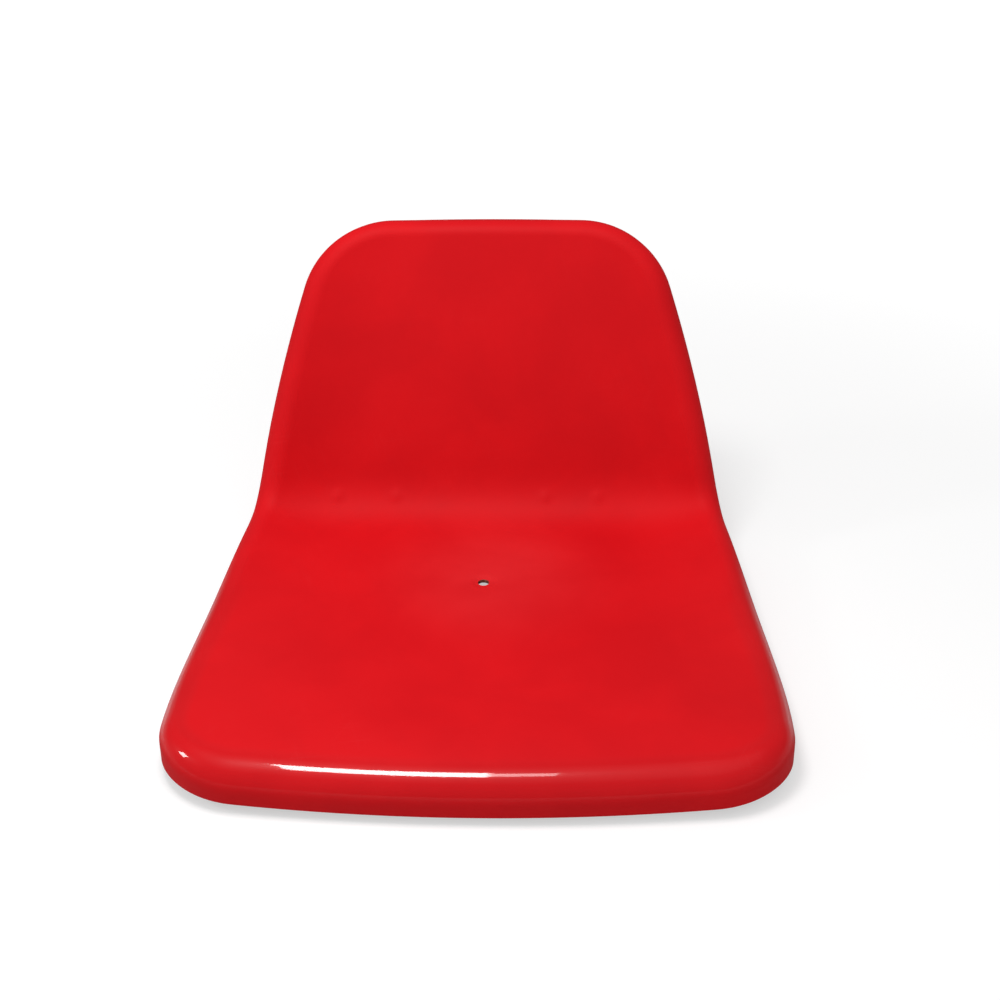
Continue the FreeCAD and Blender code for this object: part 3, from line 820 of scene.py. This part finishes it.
# The edge of its flat bottom, from the front left corner, and the directions outwards
def hatLoop():
    across, along = capping["cellsAcross"], capping["cellsAlong"]
    radius = capping["cornerRadius"] - capping["edgeRadius"]
    inset = capping["edgeRadius"] + radius
    right = capping["halfWidth"] - inset
    low, high = capping["front"] + inset, capping["back"] - inset
    arc = np.radians(np.linspace(0, 90, capping["cornerPoints"]))
    lines = []
    for x, y, first in ((right, low, -90), (right, high, 0), (-right, high, 90), (-right, low, 180)):
        angles = math.radians(first) + arc
        spokes = np.stack([np.cos(angles), np.sin(angles)], -1)
        lines.append(np.stack([np.array([x, y]) + spokes * radius, spokes], 1))
    half = len(arc) // 2
    sides = [np.concatenate([lines[corner - 1][half:], lines[corner][:half + 1]])
             for corner in range(4)]
    points = np.concatenate([evenly(side[:, 0], count)[:-1]
                             for side, count in zip(sides, (across, along) * 2)])
    tangents = unit(np.roll(points, -1, 0) - np.roll(points, 1, 0))
    return points, np.stack([tangents[:, 1], -tangents[:, 0]], -1)


# Its lower edge, walls and tabs as rings round the bottom, each with its places in the flat sheet
def hatRings(middle, loop, outward):
    centre = np.array([middle, 0])
    edge, fillet = capping["edgeRadius"], capping["fillet"]

    # how far the tabs reach: to the side and the front alike, and less behind, with a ragged cut
    roomAcross = capping["halfWidth"] + capping["tabReach"] - np.abs(loop[:, 0])
    roomBack = capping["back"] + capping["heelReach"] - loop[:, 1]
    roomFront = loop[:, 1] - capping["front"] + capping["tabReach"]
    roomAlong = np.where(outward[:, 1] > 0, roomBack, roomFront)
    leans = np.maximum(np.abs(outward), 1e-3)
    reach = np.minimum(roomAcross / leans[:, 0], roomAlong / leans[:, 1])
    run = np.arange(len(loop)) * 2 * math.pi / len(loop)
    ragged = sum(height * np.sin(run * waves + shift)
                 for (waves, height), shift in zip(capping["raggedWaves"], (middle, 2, 0)))
    ragged = ragged / sum(height for waves, height in capping["raggedWaves"])
    reach = (reach - capping["tabRagged"] * (1 + ragged))[:, None]
    fillet = np.minimum(fillet, (reach - edge) * capping["filletShare"])
    depth = shell["wall"] + capping["bondLine"] + capping["wall"]

    def tabHeight(distance):
        plan = centre + loop + outward * distance
        return heightUnder(plan[:, 0], plan[:, 1], depth)[:, None]

    profile = []  # distance out in plan, height, length along the sheet
    quarter = math.pi / 2
    for share in evenShares(capping["edgeSteps"]):
        turn = quarter * share
        profile.append((edge * math.sin(turn), edge * (1 - math.cos(turn)), edge * turn))
    wallTop = tabHeight(edge) - fillet
    for share in evenShares(capping["wallSteps"]):
        rise = (wallTop - edge) * share
        profile.append((edge, edge + rise, edge * quarter + rise))
    wallEnd = edge * quarter + wallTop - edge
    for share in evenShares(capping["filletSteps"]):
        turn = quarter * share
        distance = edge + fillet * (1 - math.cos(turn))
        height = tabHeight(distance) - fillet * (1 - math.sin(turn))
        profile.append((distance, height, wallEnd + fillet * turn))
    tabStart = edge + fillet
    for share in evenShares(capping["tabSteps"]):
        distance = tabStart + (reach - tabStart) * share
        length = wallEnd + fillet * quarter + distance - tabStart
        profile.append((distance, tabHeight(distance), length))
    rings = []
    flats = []
    for distance, height, length in profile:
        plan = centre + loop + outward * distance
        rings.append(np.concatenate([plan, np.broadcast_to(height, (len(loop), 1))], 1))
        flats.append(centre + loop + outward * length)
    return rings, flats


def onGround(plan):
    return np.concatenate([plan, np.zeros((len(plan), 1))], 1)


def makeCapping(side, middle, materials):
    across, along = capping["cellsAcross"], capping["cellsAlong"]
    piece, rows, columns = newGrid(f"over_laminate_{side}", across, along)
    mesh = piece.data
    loop, outward = hatLoop()
    flat = coonsPatch(loop, across, along)
    steps = []
    for back in capping["boltRows"]:
        flat, count = drawTo(flat, rows, columns, np.array([0, back]), capping["boltBlend"])
        steps.append(count)
    plan = flat[rows, columns] + np.array([middle, 0])
    mesh.vertices.foreach_set("co", (onGround(plan) * mm).ravel())
    keepOrder(mesh, "hatOrder", edgeOrder(rows, columns, across, along))
    keepSheetPlaces(mesh, plan)
    holes = []
    for index, back in enumerate(capping["boltRows"]):
        centre = np.array([middle, back])
        name = f"bolt{index}Order"
        spokes = markHole(mesh, name, plan, steps[index], capping["boltCells"], centre)
        holes.append((name, [centre + spokes * radius
                             for radius in (capping["boltRing"], capping["boltHole"] / 2)]))
    openCells(piece, np.minimum(*steps) < capping["boltCells"])
    for name, edges in holes:
        selectOrder(mesh, name)
        extrudeRings(piece, name, [onGround(edge) for edge in edges], edges)
    selectOrder(mesh, "hatOrder")
    extrudeRings(piece, "hatOrder", *hatRings(middle, loop, outward))
    for material in materials:
        mesh.materials.append(material)
    finishSheet(piece, capping["wall"], -1, capping["tabBevel"], 0, 1)
    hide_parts(f"bearer_capping_{side}")
    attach(piece, "root")
    return piece


overLaminate = strandedResin("red_over_laminate", overResin)
for side, middle in (("left", -capping["middle"]), ("right", capping["middle"])):
    cover = makeCapping(side, middle, (overLaminate, rawEdge))
    print("over-laminate laid,", side + ":", len(cover.data.polygons), "faces")


# Sawn hardwood: grain along the bearer, pores and the marks of the saw across it
timber = {
    "light": (0.50, 0.33, 0.18, 1), "dark": (0.30, 0.17, 0.085, 1), "pore": (0.12, 0.06, 0.03, 1),
    "rings": (95.0, 2.2), "grain": (260.0, 7.0), "pores": (1400.0, 60.0),  # across and along
    "ringNoise": (3, 0.5, 0.6), "ringShare": 0.75, "grainShare": 0.45, "poreShare": 0.7,
    "shadeRange": (0.42, 0.78), "poreRange": (0.64, 0.72), "rough": (0.82, 0.67),
    "sawPitch": 0.0028, "sawWander": 1.5, "sawHeight": 4e-5, "grainHeight": 5e-5,
}


def sawnTimber():
    material, tree, shader = newMaterial("sawn_hardwood")
    places = objectPlaces(tree)
    rings, grain, pores = (
        noise(tree, turned(tree, places, 0, (across, along, across)), 1, *look)
        for (across, along), look in ((timber["rings"], timber["ringNoise"]),
                                      (timber["grain"], grainNoise), (timber["pores"], (1,))))
    pores = spread(tree, pores, *timber["poreRange"], 0, timber["poreShare"])
    shade = maths(tree, "MULTIPLY_ADD", grain, timber["grainShare"],
                  maths(tree, "MULTIPLY", rings, timber["ringShare"]))
    shade = spread(tree, shade, *timber["shadeRange"])
    colour = blendColours(tree, shade, timber["dark"], timber["light"])
    feed(tree, blendColours(tree, pores, colour, timber["pore"]), shader["Base Color"])
    scale = 2 * math.pi / 20 / timber["sawPitch"]  # the node itself multiplies places by 20
    saw = addNode(tree, "ShaderNodeTexWave", {
        "Vector": places, "Scale": scale, "Distortion": timber["sawWander"]},
        wave_type="BANDS", bands_direction="Y")
    cuts = maths(tree, "MULTIPLY", saw["Fac"], timber["sawHeight"])
    height = maths(tree, "MULTIPLY_ADD", grain, timber["grainHeight"], cuts)
    feed(tree, bump(tree, height), shader["Normal"])
    feed(tree, spread(tree, grain, *noiseRange, *timber["rough"]), shader["Roughness"])
    return material


# Zinc plate with a yellowish passivation that is uneven over each nut
zinc = {
    "bright": (0.66, 0.64, 0.60, 1), "passivated": (0.62, 0.55, 0.38, 1),
    "dull": (0.30, 0.29, 0.28, 1), "cloudSize": 160.0, "grainSize": 1600.0, "grainHeight": 1.5e-5,
    "dullRange": (0.55, 0.75), "dullShare": 0.5, "rough": (0.26, 0.50),
}


def zincPlate():
    material, tree, shader = newMaterial("zinc_plated_steel")
    places = objectPlaces(tree)
    clouds = useGroup(tree, cloudShade, Vector=places, Size=zinc["cloudSize"])["Mask"]
    grain = noise(tree, places, zinc["grainSize"], *grainNoise)
    colour = blendColours(tree, clouds, zinc["bright"], zinc["passivated"])
    worn = spread(tree, grain, *zinc["dullRange"], 0, zinc["dullShare"])
    feed(tree, blendColours(tree, worn, colour, zinc["dull"]), shader["Base Color"])
    feed(tree, spread(tree, grain, *noiseRange, *zinc["rough"]), shader["Roughness"])
    feed(tree, bump(tree, maths(tree, "MULTIPLY", grain, zinc["grainHeight"])), shader["Normal"])
    shader["Metallic"].default_value = 1
    return material


# Gives a CAD node its material
def dress(node, material):
    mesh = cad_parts[node].data
    if not mesh.materials:
        mesh.materials.append(material)
    for index in range(len(mesh.materials)):
        mesh.materials[index] = material


hardwood = sawnTimber()
plate = zincPlate()
for side in ("left", "right"):
    dress(f"bearer_{side}", hardwood)
    for row in ("front", "rear"):
        dress(f"tee_nut_{row}_{side}", plate)
print("bearers and tee nuts given their materials")

# Pale floor, whose glow only the camera sees
ground = {"size": 12, "drop": 0.0005, "shade": (0.5292, 0.54), "shadeSize": 1.5,
          "roughness": 0.9, "specularLevel": 0.1, "glowReach": (0.3, 1.6), "glow": (0.52, 0.85)}


def makeFloor():
    bpy.ops.mesh.primitive_plane_add(size=ground["size"], location=(0, 0, 0))
    floor = bpy.context.object
    floor.name = "floor"
    bpy.ops.object.mode_set(mode="EDIT")
    bpy.ops.transform.translate(value=(0, 0, -ground["drop"]))
    bpy.ops.object.mode_set(mode="OBJECT")
    material, tree, shader = newMaterial("pale_floor")
    places = objectPlaces(tree)
    tone = spread(tree, noise(tree, places, ground["shadeSize"]), *noiseRange, *ground["shade"])
    grey = addNode(tree, "ShaderNodeCombineColor", {0: tone, 1: tone, 2: tone})
    feed(tree, grey[0], shader["Base Color"])
    shader["Roughness"].default_value = ground["roughness"]
    shader["Specular IOR Level"].default_value = ground["specularLevel"]
    shader["Emission Color"].default_value = (1, 1, 1, 1)
    path = tree.nodes.new("ShaderNodeLightPath").outputs
    away = vectorMaths(tree, "LENGTH", places)["Value"]
    glow = spread(tree, away, *ground["glowReach"], *ground["glow"], smooth=True)
    feed(tree, maths(tree, "MULTIPLY", path["Is Camera Ray"], glow), shader["Emission Strength"])
    floor.data.materials.append(material)


# The world is white to the camera, soft to the surfaces, and nearly dark in their reflections.
# Each range is of a direction's upward or backward part.
sky = {
    "fillRange": (-0.35, 0.35), "fill": (0.6, 0.36),  # light on surfaces, in front and behind
    "fillAboveRange": (0.5, 1), "fillAbove": 0.14,
    "seenLowRange": (0.10, 0.32), "seenBehindRange": (-0.25, 0.15), "seenLowBehind": 0.15,
    "seenAboveRange": (0.75, 0.97), "seen": (0.05, 0.15),  # in reflections, all round and above
}


def makeWorld():
    world = bpy.data.worlds.new("studio")
    bpy.context.scene.world = world
    world.use_nodes = True
    tree = world.node_tree
    background = tree.nodes["Background"].inputs
    path = tree.nodes.new("ShaderNodeLightPath").outputs
    direction = tree.nodes.new("ShaderNodeTexCoord").outputs["Generated"]
    parts = addNode(tree, "ShaderNodeSeparateXYZ", {0: direction})
    upward, backward = parts["Z"], parts["Y"]
    low = spread(tree, upward, *sky["seenLowRange"], 1, 0, smooth=True)
    behind = spread(tree, backward, *sky["seenBehindRange"], 0, sky["seenLowBehind"], smooth=True)
    above = spread(tree, upward, *sky["seenAboveRange"], *sky["seen"], smooth=True)
    seen = maths(tree, "MULTIPLY_ADD", low, behind, above)
    fill = spread(tree, backward, *sky["fillRange"], *sky["fill"], smooth=True)
    fillAbove = spread(tree, upward, *sky["fillAboveRange"], 0, sky["fillAbove"])
    fill = maths(tree, "ADD", fill, fillAbove)
    sharp = maths(tree, "MULTIPLY", path["Is Glossy Ray"], maths(tree, "SUBTRACT", seen, fill))
    strength = maths(tree, "ADD", sharp, fill)
    straight = maths(tree, "MAXIMUM", path["Is Camera Ray"], path["Is Transmission Ray"])
    feed(tree, maths(tree, "MAXIMUM", strength, straight), background["Strength"])
    background["Color"].default_value = (1, 1, 1, 1)


# Area lamps: place, aim, width, depth, watts
lamps = (
    ((-0.185, -0.20, 1.10), (-0.185, -0.20, 0), 0.34, 0.34, 5.8),  # for the rim's streak
    ((0.04, -0.20, 1.10), (0.04, -0.20, 0), 0.11, 0.22, 0.35),  # for the streak's faint end
    ((-1.50, -0.27, 0.97), (-0.10, -0.10, 0.05), 0.25, 0.30, 2.8),  # for the corner's spot
)


def addLamp(place, aim, width, depth, watts):
    bpy.ops.object.light_add(type="AREA", location=place)
    lamp = bpy.context.object
    lamp.data.shape = "RECTANGLE"
    lamp.data.size = width
    lamp.data.size_y = depth
    lamp.data.energy = watts
    lamp.rotation_euler = (Vector(aim) - Vector(place)).to_track_quat("-Z", "Y").to_euler()


# The photograph's view: where its camera stands and how its frame is shifted, in pixels of 1000
view = {"elevation": 31.0, "yaw": 2.341, "roll": -0.931, "distance": 1.2, "focal": 1625.3,
        "target": (0, -0.04156, 0.110), "pixelRight": -20.87, "pixelDown": 43.19,
        "frame": 1000, "sensor": 36}


def addCamera():
    elevation, yaw, roll = (math.radians(view[name]) for name in ("elevation", "yaw", "roll"))
    level = math.cos(elevation)
    back = Vector((math.sin(yaw) * level, -math.cos(yaw) * level, math.sin(elevation)))
    right = Vector((0, 0, 1)).cross(back).normalized()
    up = back.cross(right)
    rolledRight = right * math.cos(roll) + up * math.sin(roll)
    rolledUp = up * math.cos(roll) - right * math.sin(roll)
    bpy.ops.object.camera_add()
    camera = bpy.context.object
    turn = Matrix((rolledRight, rolledUp, back)).transposed().to_4x4()
    place = Vector(view["target"]) + back * view["distance"]
    camera.matrix_world = Matrix.Translation(place) @ turn
    camera.data.sensor_width = view["sensor"]
    camera.data.lens = view["focal"] * view["sensor"] / view["frame"]
    camera.data.shift_x = -view["pixelRight"] / view["frame"]
    camera.data.shift_y = view["pixelDown"] / view["frame"]
    bpy.context.scene.camera = camera


deselectAll()
makeFloor()
makeWorld()
for lamp in lamps:
    addLamp(*lamp)
addCamera()
deselectAll()
bpy.context.scene.view_settings.view_transform = "Standard"
print("stage, lamps and camera set")
